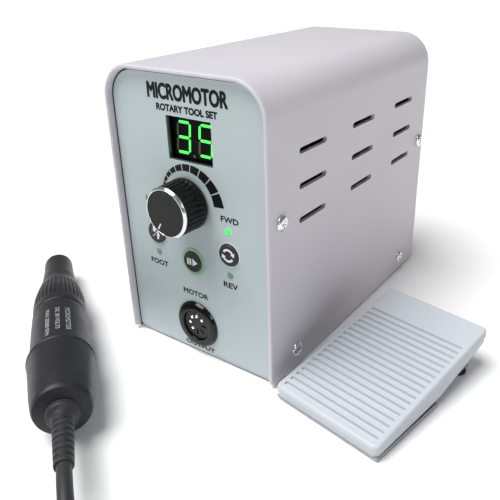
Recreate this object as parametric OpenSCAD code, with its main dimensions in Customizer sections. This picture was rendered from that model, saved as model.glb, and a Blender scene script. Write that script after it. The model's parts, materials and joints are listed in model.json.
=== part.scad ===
// Micromotor rotary tool set: a control box, a handpiece on its cord and a foot pedal.
// Frame: origin at the centre of the control box's underside, +X to the right of its front
// panel, +Y to its back, +Z up. The handpiece, cord and pedal lie on the same surface, z = 0.

/* [Control box] */
// Outside width of the steel cover
box_w = 88; // [84:1:100]
// Height of the steel cover
box_h = 135; // [134:1:150]
// Depth of the steel cover, front edge to back edge
box_d = 154; // [150:1:170]
// Outside radius of the two long top bends
bend_r = 16; // [12:1:18]
// Thickness of the cover's sheet
sheet_t = 2; // [1.2:0.1:2]
// How far the front panel sits behind the cover's front edge
recess = 3.2; // [2.5:0.1:4]
// Thickness of the rubber sheet under the box
pad_t = 1.2; // [1:0.1:3]
// Radius of the speed knob
knob_r = 11.8; // [10:0.1:12.5]
// How far the knob's face stands off the panel
knob_h = 14.6; // [13:0.1:17]
// Radius of the three push buttons
button_r = 5.1; // [4:0.1:5.2]

/* [Handpiece] */
// Radius of the rear sleeve's rim, the widest place
rim_r = 14.6; // [14.2:0.1:16]
// Greatest radius of the fluted grip ring
grip_r = 12.7; // [12.4:0.1:13.2]
// Radius of the tool shank that the collet holds
shank_r = 1.175; // [1.175, 1.5]
// Direction that the nose points in on the table, in degrees from +X
pen_heading = 144; // [140:1:150]

/* [Cord] */
// Diameter of the handpiece's cord
cord_d = 5.5; // [5:0.1:6]

/* [Foot pedal] */
// Width of the treadle
pedal_w = 54; // [50:1:60]
// Length of the treadle
pedal_l = 84; // [80:1:90]
// Height of the treadle's high end
pedal_h = 20.5; // [19:0.5:24]
// How far the pedal is turned from the +Y direction
pedal_turn = 10; // [0:1:16]

/* [Hidden] */
$fn = 72;

// ---- control box: derived planes and places ----
front_y = -box_d / 2;               // cover's front edge
panel_y = front_y + recess;         // outer face of the printed overlay
film_t = 0.4;                       // overlay film
plate_t = 1.5;                      // chassis sheet
plate_y = panel_y + film_t;         // outer face of the chassis front wall
plate_in = plate_y + plate_t;       // its inner face
back_y = -plate_y;                  // outer face of the chassis rear wall
back_in = back_y - plate_t;
inner_w = box_w - 2 * sheet_t;      // inside width of the cover
box_top = pad_t + box_h;
wall_x = inner_w / 2 - 0.3;         // outer face of the chassis side flanges
board_y = -58;                      // front face of the control board
board_t = 1.6;
display_x = 2;                      // centre of the display and title
display_z = 107;
ctrl_x = -1;                        // centre of the knob, start button and socket
knob_z = 79;
side_x = 21.4;                      // mode and direction columns, left and right of ctrl_x
side_z = 59.5;
led_z = [70.5, 49.3];               // upper and lower lamp of each column
start_z = 50.2;
socket_z = 16.8;
led_r = 1.5;
gap = 0.15;                         // clearance round a button
screw_spots = [[front_y + 8.4, 78.2], [-front_y - 7.1, 78], [front_y + 19.6, 10.8],
    [-front_y - 22.6, 9.8]];        // y and z of the cover screws on one side
slot_y = [-44, 1, 46];              // vent slot columns
slot_z = [104.7, 89.4, 74.1];       // vent slot rows
inlet_x = -18;
low_z = 28;                         // mains inlet and rocker
high_z = 60;                        // pedal jack and fuse
switch_x = 19;
power_y = 38;                       // front face of the power board

// ---- handpiece: stations along the axis from the rear end, in mm ----
rim_s = 34.5;
grip_s0 = 73.5;
grip_s1 = 108.3;
touch_s = 84;                       // where the grip touches the table
nose_s = 140.5;                     // front end of the front sleeve
collet_s = 145.9;                   // front end of the collet
free_s = 146.2;                     // where the shank's full-size free end starts
neck = 0.2;                         // how much thinner the shank is inside the collet
tip_s = 152.1;                      // free end of the shank
pen_tilt = atan((rim_r - grip_r) / (touch_s - rim_s));
tail = [-5, -148.5, rim_r * cos(pen_tilt) + rim_s * sin(pen_tilt)];
relief_s = -30;                     // rear end of the strain relief

// ---- cord: the route that isn't coiled, by hand, and the coil beside it ----
cord_r = cord_d / 2;
coil_at = [36, -228];
layer_rise = 5.6;                   // from the lower layer of turns to the upper one
coil_out = 43.5;
coil_in = 16.6;
lead_pts = [[19.3, -166.1, 17.1], [25.3, -170.5, 17], [31.4, -174.9, 15.6], [37.5, -179.3, 12.6],
    [43.5, -183.7, 8.8], [49.2, -187.9, 5.5], [54.4, -191.7, 3.4], [59.7, -195.5, 2.8]];
plug_dir = 160;                     // heading of the tail and plug, in degrees from +X
tail_pts = [[22.2, -266, 8.4], [10.9, -261.9, 8.5], [-0.8, -257.6, 8.6]];
plug_r = 8.5;

// ---- pedal, in its own frame: y runs from the hinge end to the high end ----
pedal_at = [82, -44];
near_h = 7.5;                       // height of the hinge end
skin = 1.6;
foot_t = 0.8;
hinge_y = -34;
hinge_z = 4.3;
pin_r = 1.25;
spring_y = 22;
plunger_y = 8;
groove_n = 18;
groove_pitch = 3.6;
groove_y0 = -38;

// ================= helpers =================
module along_y(y0, y1) translate([0, y1, 0]) rotate([90, 0, 0]) linear_extrude(y1 - y0) children();
module ycyl(x, z, y0, y1, r) translate([x, y1, z]) rotate([90, 0, 0]) cylinder(h = y1 - y0, r = r);
module ycone(x, z, y0, y1, r0, r1)
    translate([x, y1, z]) rotate([90, 0, 0]) cylinder(h = y1 - y0, r1 = r1, r2 = r0);
module yblock(x, z, w, h, y0, y1) translate([x - w / 2, y0, z - h / 2]) cube([w, y1 - y0, h]);

// Arch outline: square foot, two round top corners
module arch(w, z0, z1, r) {
    translate([-w / 2, z0]) square([w, z1 - z0 - r]);
    translate([-w / 2 + r, z0]) square([w - 2 * r, z1 - z0]);
    for (s = [-1, 1]) translate([s * (w / 2 - r), z1 - r]) circle(r);
}

// Rectangle with round corners, from unions only
module soft_rect(w, h, r) {
    square([w - 2 * r, h], center = true);
    square([w, h - 2 * r], center = true);
    for (i = [-1, 1], j = [-1, 1]) translate([i * (w / 2 - r), j * (h / 2 - r)]) circle(r);
}

// Every hole that pierces the front wall, from y0 to y1
module panel_holes(y0, y1) {
    yblock(display_x, display_z, 24.6, 19, y0, y1);
    ycyl(ctrl_x, knob_z, y0, y1, 3.6);
    for (s = [-1, 1]) {
        ycyl(ctrl_x + s * side_x, side_z, y0, y1, button_r + gap);
        for (z = led_z) ycyl(ctrl_x + s * side_x, z, y0, y1, led_r + 0.1);
    }
    ycyl(ctrl_x, start_z, y0, y1, 6.7);
    ycyl(ctrl_x, socket_z, y0, y1, 9.55);
}

// ================= control box =================
module base_pad() color("#2b2b2e") linear_extrude(pad_t) soft_rect(76, 138, 5);

module chassis() color("#b9bfc2") difference() {
    union() {
        along_y(plate_y, plate_in) arch(inner_w - 1, pad_t, box_top - sheet_t - 0.5, bend_r - sheet_t - 0.5);
        along_y(back_in, back_y) arch(inner_w - 1, pad_t, box_top - sheet_t - 0.5, bend_r - sheet_t - 0.5);
        translate([-wall_x, plate_y, pad_t]) cube([2 * wall_x, back_y - plate_y, plate_t]);
        for (s = [-1, 1]) {
            translate([s * (wall_x - plate_t / 2) - plate_t / 2, plate_y + 2, pad_t])
                cube([plate_t, back_y - plate_y - 4, 15]);
            for (e = [-1, 1]) translate([s * (wall_x - plate_t / 2) - plate_t / 2,
                    e > 0 ? back_in - 10 : plate_in - 0.5, 62]) cube([plate_t, 10.5, 32]);
        }
    }
    panel_holes(plate_y - 1, plate_in + 1);
    yblock(inlet_x, low_z, 27.2, 20.2, back_in - 1, back_y + 1);
    yblock(switch_x, low_z, 13.2, 19.4, back_in - 1, back_y + 1);
    ycyl(inlet_x, high_z, back_in - 1, back_y + 1, 4.05);
    ycyl(switch_x, high_z, back_in - 1, back_y + 1, 6.05);
    for (s = [-1, 1], p = screw_spots)
        translate([s * wall_x, p[0], p[1]]) rotate([0, 90, 0]) cylinder(h = 8, r = 1.55, center = true);
}

module vent_slots() for (y = slot_y, z = slot_z) {
    translate([0, y, z]) cube([box_w + 2, 19, 2.6], center = true);
    for (e = [-1, 1]) translate([0, y + e * 9.5, z]) rotate([0, 90, 0])
        cylinder(h = box_w + 2, r = 1.3, center = true);
}

module cover() color("#cfccd2") difference() {
    along_y(front_y, -front_y) arch(box_w, pad_t, box_top, bend_r);
    along_y(front_y - 1, 1 - front_y) arch(inner_w, pad_t - 1, box_top - sheet_t, bend_r - sheet_t);
    vent_slots();
    for (s = [-1, 1], p = screw_spots)
        translate([s * box_w / 2, p[0], p[1]]) rotate([0, 90, 0]) cylinder(h = 8, r = 1.75, center = true);
}

// Pan-head screws with a cross recess, two on each side wall, front and back
module cover_screws() color("#d8dadd") for (s = [-1, 1], p = screw_spots)
    translate([s * box_w / 2, p[0], p[1]]) rotate([0, s * 90, 0]) difference() {
        union() {
            cylinder(h = 1.9, r = 3.5);
            translate([0, 0, -7.5]) cylinder(h = 8, r = 1.5);
        }
        for (a = [0, 90]) rotate(a) translate([0, 0, 1.9]) cube([4, 0.9, 2.2], center = true);
    }

module front_overlay() color("#b4c0c2") difference() {
    along_y(panel_y, plate_y) arch(inner_w - 1.2, pad_t + 1.8, box_top - sheet_t - 0.6, bend_r - sheet_t - 0.6);
    panel_holes(panel_y - 1, plate_y + 1);
}

module display_module() color("#1c1d1f") difference() {
    yblock(display_x, display_z, 25.2, 19.1, plate_in + 0.3, board_y);
    yblock(display_x, display_z, 23.6, 17.5, plate_in, plate_in + 1.4);
}

// Seven-segment digits, showing 35, as flat bars on the module's face
seg_w = 2;
digit_w = 7.4;
digit_h = 13.4;
function digit_bars() = [[0, 1, 0], [0, 0, 0], [0, -1, 0],
    [-1, 0.5, 90], [1, 0.5, 90], [-1, -0.5, 90], [1, -0.5, 90]];
module display_digits() color("#4fe08a") for (d = [-1, 1], b = digit_bars())
    translate([display_x + d * 6, plate_in + 1.1, display_z])
        translate([b[0] * digit_w / 2 + b[1] * digit_h / 2 * 0.14, 0, b[1] * digit_h / 2])
            rotate([0, b[2] == 90 ? 8 : 0, 0])
                cube([b[2] == 90 ? seg_w * 0.8 : digit_w - 2.4, 0.6, b[2] == 90 ? 4.4 : seg_w * 0.8],
                    center = true);

module control_board() color("#2f6b45") difference() {
    yblock(ctrl_x + 1, 79, 74, 92, board_y, board_y + board_t);
    ycyl(ctrl_x, knob_z, board_y - 1, board_y + 3, 10.5);
}

// Spacers behind the front wall and in front of the rear wall
module board_standoffs() color("#c8a24a") {
    for (x = [-34, 34], z = [37, 121]) ycyl(x, z, plate_in, board_y, 2.4);
    for (x = [-35, 35], z = [17, 106]) ycyl(x, z, power_y + board_t, back_in, 2.4);
}

module led(x, z) {
    ycyl(x, z, panel_y + 1.1, board_y, led_r);
    translate([x, panel_y + 1.1, z]) sphere(led_r);
}
module led_forward() color("#46f08c") led(ctrl_x + side_x, led_z[0]);
module status_leds() color("#9fd8b4") {
    led(ctrl_x + side_x, led_z[1]);
    for (z = led_z) led(ctrl_x - side_x, z);
}

// A push cap: a disc that shows, a collar behind the wall that keeps it in, and a short stem
module button(x, z) {
    ycyl(x, z, panel_y - 1, plate_in + 1.6, button_r);
    ycyl(x, z, plate_in + 1.2, plate_in + 2.6, button_r + 1.2);
    ycyl(x, z, plate_in + 2.6, board_y - 5, 1.6);
}
module start_button() color("#1d1f21") button(ctrl_x, start_z);
module direction_button() color("#1d1f21") button(ctrl_x + side_x, side_z);
module mode_button() color("#1d1f21") button(ctrl_x - side_x, side_z);

module start_ring() color("#63e39a") difference() {
    ycyl(ctrl_x, start_z, panel_y - 0.3, plate_in, 6.7);
    ycyl(ctrl_x, start_z, panel_y - 1, plate_in + 1, button_r + gap);
}

module button_switches() color("#3a3c40")
    for (p = [[ctrl_x, start_z], [ctrl_x + side_x, side_z], [ctrl_x - side_x, side_z]]) {
        yblock(p[0], p[1], 6.2, 6.2, board_y - 3, board_y);
        ycyl(p[0], p[1], board_y - 3.9, board_y - 3, 1.7);
    }

module speed_pot() color("#9a9da1") difference() {
    union() {
        ycyl(ctrl_x, knob_z, plate_in, plate_in + 9, 8.4);
        ycyl(ctrl_x, knob_z, panel_y - 4.4, plate_in, 3.5);
    }
    ycyl(ctrl_x, knob_z, panel_y - 5, plate_in + 6, 3.05);
}
module pot_nut() color("#c9ccd0") difference() {
    ycyl(ctrl_x, knob_z, panel_y - 2, panel_y, 5.2);
    ycyl(ctrl_x, knob_z, panel_y - 3, panel_y + 1, 3.5);
}
module pot_shaft() color("#b4b7bb") ycyl(ctrl_x, knob_z, panel_y - knob_h + 3, plate_in + 5.5, 3);

// Knob: a fluted barrel with a counterbore over the nut and a raised face inside the bright ring
ring_h = 1.2;
ring_out = knob_r - 0.5;
ring_in = knob_r - 2.2;
module knob_body() color("#17181a") difference() {
    union() {
        ycyl(ctrl_x, knob_z, panel_y - knob_h + ring_h, panel_y - 1, ring_out);
        ycyl(ctrl_x, knob_z, panel_y - knob_h, panel_y - 5, ring_in);
        for (a = [0:15:345]) translate([ctrl_x + (knob_r - 0.9) * cos(a), panel_y - 1,
                knob_z + (knob_r - 0.9) * sin(a)]) rotate([90, 0, 0]) cylinder(h = knob_h - 2.6, r = 0.9);
    }
    ycyl(ctrl_x, knob_z, panel_y - 5.4, panel_y, 6);
    ycyl(ctrl_x, knob_z, panel_y - knob_h + 2.9, panel_y, 3.02);
}
module knob_ring() color("#e6e8ea") difference() {
    union() {
        ycone(ctrl_x, knob_z, panel_y - knob_h, panel_y - knob_h + 0.9, ring_out - 0.9, ring_out);
        ycyl(ctrl_x, knob_z, panel_y - knob_h + 0.9, panel_y - knob_h + ring_h, ring_out);
    }
    ycyl(ctrl_x, knob_z, panel_y - knob_h - 1, panel_y - knob_h + 2, ring_in);
}

// Motor output socket: a round flange on the panel, its barrel and its contact block
module motor_socket() color("#161718") difference() {
    union() {
        ycone(ctrl_x, socket_z, panel_y - 1.9, panel_y, 10.6, 12);
        ycyl(ctrl_x, socket_z, panel_y, plate_in + 12, 9.5);
    }
    ycyl(ctrl_x, socket_z, panel_y - 3, plate_in + 13, 7.4);
}
contact_angles = [20, 65, 110, 155, 200];
module socket_insert() color("#26272a") difference() {
    ycyl(ctrl_x, socket_z, panel_y - 0.9, plate_in + 11, 7.4);
    for (a = contact_angles) ycyl(ctrl_x + 4.3 * cos(a + 25), socket_z + 4.3 * sin(a + 25),
        panel_y - 2, panel_y + 9, 0.95);
    for (a = [0, 45, 90]) translate([ctrl_x, panel_y, socket_z]) rotate([0, a, 0])
        translate([2.7, -2, -0.45]) cube([3, 8, 0.9]);
}
module socket_contacts() color("#d8d2c0") for (a = contact_angles) difference() {
    ycyl(ctrl_x + 4.3 * cos(a + 25), socket_z + 4.3 * sin(a + 25), panel_y - 0.5, panel_y + 9, 0.95);
    ycyl(ctrl_x + 4.3 * cos(a + 25), socket_z + 4.3 * sin(a + 25), panel_y - 1, panel_y + 8, 0.55);
}

// Mains transformer: a laminated core with two windows and the winding round its middle leg
core_z = pad_t + plate_t;
module transformer_core() color("#6f7378") difference() {
    translate([-33, -18, core_z]) cube([66, 36, 55]);
    for (s = [-1, 1]) translate([s * 16.5 - 5.5, -19, core_z + 11]) cube([11, 38, 33]);
}
module transformer_winding() color("#b06a35") difference() {
    translate([-21.8, -28, core_z + 11.2]) cube([43.6, 56, 32.6]);
    translate([-11, -18, core_z + 10]) cube([22, 36, 35]);
}

module power_board() color("#2f6b45") translate([-38, power_y, 8]) cube([76, board_t, 102]);
module heatsink() color("#a9adb2") {
    translate([3, power_y - 4, 70]) cube([32, 4, 36]);
    for (i = [0:6]) translate([3 + i * 5.1, power_y - 22, 70]) cube([1.4, 18, 36]);
}
module capacitors() color("#26406a") {
    ycyl(-16, 92, power_y - 28, power_y, 9);
    ycyl(-27, 73, power_y - 18, power_y, 5);
    ycyl(-8, 74, power_y - 18, power_y, 5);
}

// Mains inlet: a flanged shell with three blades standing in it
module mains_inlet() color("#1b1c1e") {
    difference() {
        union() {
            yblock(inlet_x, low_z, 27, 20, back_y - 22, back_y);
            yblock(inlet_x, low_z, 31, 24, back_y, back_y + 2.2);
        }
        yblock(inlet_x, low_z, 24, 17, back_y - 16, back_y + 3);
    }
    for (p = [[-7, -2], [0, 2.5], [7, -2]])
        yblock(inlet_x + p[0], low_z + p[1], 2, 4, back_y - 16.5, back_y - 3.5);
}
module fuse_holder() color("#1b1c1e") difference() {
    union() {
        ycyl(switch_x, high_z, back_y - 26, back_y, 6);
        ycyl(switch_x, high_z, back_y, back_y + 1.8, 7.6);
    }
    ycyl(switch_x, high_z, back_y - 22, back_y + 3, 4.6);
}
module fuse_cap() color("#303236") difference() {
    union() {
        ycyl(switch_x, high_z, back_y - 8, back_y + 2, 4.5);
        ycyl(switch_x, high_z, back_y + 1.9, back_y + 3.1, 6.2);
    }
    yblock(switch_x, high_z, 8, 1.2, back_y + 2, back_y + 4);
}
module rocker_frame() color("#1b1c1e") difference() {
    union() {
        yblock(switch_x, low_z, 13, 19.2, back_y - 16, back_y);
        yblock(switch_x, low_z, 15, 21, back_y, back_y + 1.5);
    }
    yblock(switch_x, low_z, 11, 16.6, back_y - 9, back_y + 3);
}
rocker_y = back_y - 3;
rocker_tilt = 10;
module power_rocker() color("#202226") {
    intersection() {
        translate([switch_x, rocker_y, low_z]) rotate([rocker_tilt, 0, 0]) difference() {
            translate([-5.2, -3, -7.6]) cube([10.4, 8.4, 15.2]);
            for (e = [-1, 1]) translate([0, 6.2, e * 7.6]) rotate([e * -12, 0, 0])
                cube([12, 3, 16], center = true);
        }
        yblock(switch_x, low_z, 10.4, 15.6, back_y - 9, back_y + 3);
    }
    translate([switch_x, rocker_y, low_z]) rotate([0, 90, 0]) cylinder(h = 10.9, r = 1.2, center = true);
}
module pedal_jack() color("#8f9296") difference() {
    union() {
        yblock(inlet_x, high_z, 14, 14, back_in - 22, back_in);
        ycyl(inlet_x, high_z, back_in, back_y + 2.6, 4);
    }
    ycyl(inlet_x, high_z, back_in - 18, back_y + 4, 3.2);
}

// ================= handpiece, drawn along +Z from its rear end =================
module on_pen() translate(tail) rotate([0, 90 + pen_tilt, pen_heading]) children();
module lathe(pts) rotate_extrude() polygon(pts);
module ring(s0, s1, r0, r1) translate([0, 0, s0]) difference() {
    cylinder(h = s1 - s0, r = r1);
    translate([0, 0, -1]) cylinder(h = s1 - s0 + 2, r = r0);
}

module rear_sleeve() color("#2b2b2f") on_pen() lathe([[4.5, 0], [6.6, 0], [11.6, 1], [12, 3], [12.8, 10],
    [13.4, 20], [13.9, 28], [rim_r - 0.3, rim_s - 1], [rim_r, rim_s - 0.4], [rim_r - 0.2, rim_s],
    [11.8, rim_s], [11.8, 3], [4.5, 2.4]]);
module motor_housing() color("#29292c") on_pen() lathe([[10.6, 30], [11.7, 30], [11.7, rim_s],
    [13.7, rim_s], [13.3, 42], [13.1, 60], [12.9, 71.6], [12.5, 72.3], [8.5, 72.3], [8.5, grip_s1 + 0.3],
    [6.1, grip_s1 + 0.3], [6.1, 68], [10.6, 66]]);
module grip_ring() color("#2a2b2d") on_pen() lathe([[8.56, grip_s0], [12.2, grip_s0],
    [grip_r - 0.1, grip_s0 + 0.7], [grip_r, touch_s - 4], [grip_r, touch_s], [12.55, 88], [12.15, 92],
    [11.3, 98], [10.1, 104], [9.5, grip_s1 - 0.4], [9.2, grip_s1], [8.56, grip_s1]]);
module front_sleeve() color("#2a2a2d") on_pen() lathe([[6.1, 108.6], [9, 108.6], [9.2, 109], [8.6, 115.4],
    [8.05, 122.5], [7.75, 130], [7.6, 137.6], [7.2, 138.8], [5.1, nose_s], [4.9, nose_s], [4.9, 137.4],
    [6.1, 137.4]]);
module nose_cap() color("#d9dbde") on_pen() lathe([[2.75, 136.2], [4.88, 136.2], [4.88, nose_s],
    [4.8, nose_s + 0.1], [3.6, nose_s + 0.9], [2.9, nose_s + 2.4], [2.75, nose_s + 2.4]]);
module bearings() color("#c4c7ca") on_pen() {
    for (s = [112, 128]) ring(s, s + 6, 3.56, 6.05);
    ring(14, 18, 2.06, 5.2);
    ring(68.5, 72.3, 2.06, 6.05);
}
module spindle() color("#b9bcc0") on_pen() difference() {
    union() {
        translate([0, 0, 12]) cylinder(h = 64, r = 2);
        translate([0, 0, 76]) cylinder(h = 59.5, r = 3.5);
    }
    translate([0, 0, 108]) cylinder(h = 40, r = 2.55);
}
module armature() color("#a5632f") on_pen() {
    ring(32, 56, 2.02, 8);
    ring(22, 29, 2.02, 3.8);
}
module motor_magnets() color("#4a4c50") on_pen() ring(31, 60, 8.6, 10.55);
module brushes() color("#3b3a38") on_pen() for (a = [0, 180]) rotate(a)
    translate([3.95, -2, 23]) cube([6.6, 4, 5]);
module collet() color("#e2e4e6") on_pen() difference() {
    union() {
        translate([0, 0, 111]) cylinder(h = 32, r = 2.48);
        translate([0, 0, 143]) cylinder(h = collet_s - 143, r = 2.1);
    }
    translate([0, 0, 120]) cylinder(h = 40, r = shank_r - neck + 0.01);
}
module tool_shank() color("#ececee") on_pen() {
    translate([0, 0, 122]) cylinder(h = free_s - 121.9, r = shank_r - neck);
    translate([0, 0, free_s]) cylinder(h = tip_s - 0.3 - free_s, r = shank_r);
    translate([0, 0, tip_s - 0.3]) cylinder(h = 0.3, r1 = shank_r, r2 = shank_r - 0.25);
}
module strain_relief() color("#232326") on_pen() difference() {
    union() {
        lathe([[0, relief_s], [3.6, relief_s], [4.2, -5.6], [4.4, -4], [5.2, -3.4], [6.4, -2.6],
            [6.5, 0], [0, 0]]);
        translate([0, 0, -0.1]) cylinder(h = 6, r = 4.45);
    }
    for (i = [0:6]) ring(relief_s + 2.4 + i * 3.2, relief_s + 3.7 + i * 3.2, 3.2, 6);
}

// ================= cord =================
function unit(v) = v / norm(v);
function tangent(p, i) = unit(p[min(i + 1, len(p) - 1)] - p[max(i - 1, 0)]);
function side_of(t) = unit(cross(t, abs(t[2]) > 0.9 ? [1, 0, 0] : [0, 0, 1]));
// A round tube along a list of points, as one closed mesh
module tube(p, r, n) {
    rings = [for (i = [0:len(p) - 1]) let (t = tangent(p, i), u = side_of(t), v = cross(u, t))
        [for (k = [0:n - 1]) p[i] + r * (cos(360 * k / n) * u + sin(360 * k / n) * v)]];
    last = (len(p) - 1) * n;
    polyhedron([for (q = rings) each q], concat([[for (k = [0:n - 1]) k]],
        [for (i = [0:len(p) - 2], k = [0:n - 1])
            [i * n + k, (i + 1) * n + k, (i + 1) * n + (k + 1) % n, i * n + (k + 1) % n]],
        [[for (k = [n - 1:-1:0]) last + k]]));
}
module cord_lead() color("#26262a") tube(lead_pts, cord_r, 10);
module cord_coil() color("#26262a") translate([coil_at[0], coil_at[1], 0]) difference() {
    cylinder(h = cord_d + layer_rise, r = coil_out);
    translate([0, 0, -1]) cylinder(h = 20, r = coil_in);
}
module cord_tail() color("#26262a") tube(tail_pts, cord_r, 10);
module on_plug() translate(tail_pts[2]) rotate([0, 90, plug_dir]) children();
module plug_body() color("#232326") on_plug()
    lathe([[0, 0], [3.4, 0], [4.4, 13], [6.6, 14.5], [plug_r - 0.3, 16], [plug_r - 0.1, 38], [7.6, 39],
        [7, 39], [7, 47], [6.6, 47], [6.6, 41], [0, 41]]);
module plug_pins() color("#cfd2d5") on_plug() for (a = [0:45:180]) rotate(a)
    translate([4.3, 0, 41]) cylinder(h = 5, r = 0.7);

// ================= foot pedal =================
module on_pedal() translate([pedal_at[0], pedal_at[1], 0]) rotate([0, 0, -pedal_turn]) children();
module along_x(w) rotate([90, 0, 90]) translate([0, 0, -w / 2]) linear_extrude(w) children();
half_l = pedal_l / 2;
slope = (pedal_h - near_h) / pedal_l;
function top_z(y) = near_h + (y + half_l) * slope;

module pedal_base() color("#b9bfca") on_pedal() {
    difference() {
        union() {
            along_x(pedal_w - 1) polygon([[-half_l + 1, foot_t], [2, foot_t], [2, 2], [-half_l + 1, 2]]);
            along_x(pedal_w - 9) polygon([[-30, foot_t], [35, foot_t], [37, 11.8], [35, top_z(35) - 6.4],
                [4, top_z(4) - 5.4], [-30, 2.4]]);
        }
        along_x(pedal_w - 12) polygon([[-29, 2.2], [33.4, 2.2], [33.4, 30], [-29, 30]]);
        translate([0, 38, 6]) rotate([90, 0, 0]) cylinder(h = 10, r = 2.4);
    }
    for (s = [-1, 1]) translate([s * 15 - 2, hinge_y, 0]) difference() {
        union() {
            translate([0, 0, hinge_z]) rotate([0, 90, 0]) cylinder(h = 4, r = 2.2);
            translate([0, -2.2, 1.9]) cube([4, 4.4, hinge_z - 1.9]);
        }
        translate([-1, 0, hinge_z]) rotate([0, 90, 0]) cylinder(h = 6, r = pin_r + 0.01);
    }
    translate([0, spring_y, 1.9]) cylinder(h = 3, r = 2.8);
}

// Treadle: a ribbed plate with a skirt round it and two ears on the hinge pin
module pedal_treadle() color("#d6dce4") on_pedal() difference() {
    union() {
        difference() {
            intersection() {
                along_x(pedal_w) polygon([[-half_l, 2.4], [4, 4.3], [half_l, 14.2], [half_l, pedal_h],
                    [-half_l, near_h]]);
                linear_extrude(40) soft_rect(pedal_w, pedal_l, 3);
            }
            along_x(pedal_w - 2 * skin) polygon([[-half_l + skin, 0], [half_l - skin, 0],
                [half_l - skin, top_z(half_l - skin) - skin], [-half_l + skin, top_z(-half_l + skin) - skin]]);
        }
        for (s = [-1, 1]) translate([s * 21 - 2, hinge_y, hinge_z]) {
            rotate([0, 90, 0]) cylinder(h = 4, r = 2.2);
            translate([0, -2, 0]) cube([4, 4, 3.4]);
        }
        translate([0, spring_y, 11]) cylinder(h = top_z(spring_y) - skin - 10.8, r = 2.8);
    }
    for (i = [0:groove_n - 1]) translate([0, groove_y0 + i * groove_pitch, top_z(groove_y0 + i * groove_pitch)])
        rotate([atan(slope), 0, 0]) cube([pedal_w - 5, 1.3, 1.2], center = true);
    translate([-30, hinge_y, hinge_z]) rotate([0, 90, 0]) cylinder(h = 60, r = pin_r + 0.05);
}
module pedal_hinge_pin() color("#c6c9cc") on_pedal()
    translate([-24, hinge_y, hinge_z]) rotate([0, 90, 0]) cylinder(h = 48, r = pin_r);
spring_pts = [for (i = [0:60]) let (a = i * 36) [3.6 * cos(a), spring_y + 3.6 * sin(a), 2.7 + i * 0.165]];
module pedal_spring() color("#b8bbbe") on_pedal() tube(spring_pts, 0.4, 6);
module pedal_switch() color("#303236") on_pedal() difference() {
    translate([-10, plunger_y - 3.2, 2.2]) cube([20, 6.4, 6.4]);
    translate([-5, plunger_y, 5.4]) cylinder(h = 5, r = 1.26);
}
module pedal_plunger() color("#b03a34") on_pedal()
    translate([-5, plunger_y, 8.7]) cylinder(h = top_z(plunger_y) - skin - 9.1, r = 1.2);
module pedal_feet() color("#26272a") on_pedal() for (x = [-20, 20], y = [-36, 30])
    translate([x, y, 0]) cylinder(h = foot_t, r = 4);

base_pad();
chassis();
cover();
cover_screws();
front_overlay();
display_module();
display_digits();
control_board();
board_standoffs();
led_forward();
status_leds();
start_button();
start_ring();
direction_button();
mode_button();
button_switches();
speed_pot();
pot_nut();
pot_shaft();
knob_body();
knob_ring();
motor_socket();
socket_insert();
socket_contacts();
transformer_core();
transformer_winding();
power_board();
heatsink();
capacitors();
mains_inlet();
fuse_holder();
fuse_cap();
rocker_frame();
power_rocker();
pedal_jack();
tool_shank();
collet();
nose_cap();
front_sleeve();
grip_ring();
motor_housing();
rear_sleeve();
spindle();
bearings();
armature();
motor_magnets();
brushes();
strain_relief();
cord_lead();
cord_coil();
cord_tail();
plug_body();
plug_pins();
pedal_base();
pedal_treadle();
pedal_hinge_pin();
pedal_spring();
pedal_switch();
pedal_plunger();
pedal_feet();
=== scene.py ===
# %% [markdown]
# # A micromotor rotary tool set
# The set is a steel control box with a speed knob, a pen-like handpiece whose motor sits in its
# barrel, the handpiece's cord and plug, and a foot pedal. A CAD model already gives every piece
# its size and its joint. This notebook loads that model as a fixed frame, then gives each piece the
# surface that a maker would recognise: paint, film, fluting, print, rubber and bright steel.
# Lengths are written in millimetres and turned into Blender's metres in one place.

# %% Load the CAD frame
import json
import math
import bmesh
import bpy
import numpy as np
from mathutils import Matrix, Vector


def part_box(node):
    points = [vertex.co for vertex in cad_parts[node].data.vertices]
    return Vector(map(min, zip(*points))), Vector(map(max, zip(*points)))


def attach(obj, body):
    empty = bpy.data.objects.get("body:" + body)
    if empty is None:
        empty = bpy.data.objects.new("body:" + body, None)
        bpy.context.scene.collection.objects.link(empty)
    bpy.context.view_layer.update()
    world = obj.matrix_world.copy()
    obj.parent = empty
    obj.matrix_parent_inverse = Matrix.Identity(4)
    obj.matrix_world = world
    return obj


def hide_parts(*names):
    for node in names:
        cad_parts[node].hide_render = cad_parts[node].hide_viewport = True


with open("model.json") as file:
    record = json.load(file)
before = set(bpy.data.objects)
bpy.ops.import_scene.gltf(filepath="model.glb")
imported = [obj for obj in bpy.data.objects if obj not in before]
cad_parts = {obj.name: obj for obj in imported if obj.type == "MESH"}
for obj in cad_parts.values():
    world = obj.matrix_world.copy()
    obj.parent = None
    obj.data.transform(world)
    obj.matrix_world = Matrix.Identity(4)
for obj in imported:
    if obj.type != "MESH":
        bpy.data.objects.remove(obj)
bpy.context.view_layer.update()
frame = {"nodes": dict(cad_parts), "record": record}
record, nodes, scene = frame["record"], frame["nodes"], bpy.context.scene
MM, METRE = 0.001, 1000  # a millimetre in metres, and a metre in millimetres


def box_of(node):
    """A CAD node's lowest and highest corners, in millimetres."""
    return [np.array(corner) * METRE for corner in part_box(node)]


def centre_of(node):
    """The x and z of a CAD node's middle, in millimetres."""
    return [sum(corner[k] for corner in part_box(node)) * METRE / 2 for k in (0, 2)]


# %% [markdown]
# ## The camera
# The picture is taken from the front right and a little above, with a lens of normal length.
# The camera's direction is easiest to think of as three angles: how far round the box it stands,
# how far it looks down, and a slight roll. They are turned into a rotation matrix whose columns
# are the camera's right, its up and its back.

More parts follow.
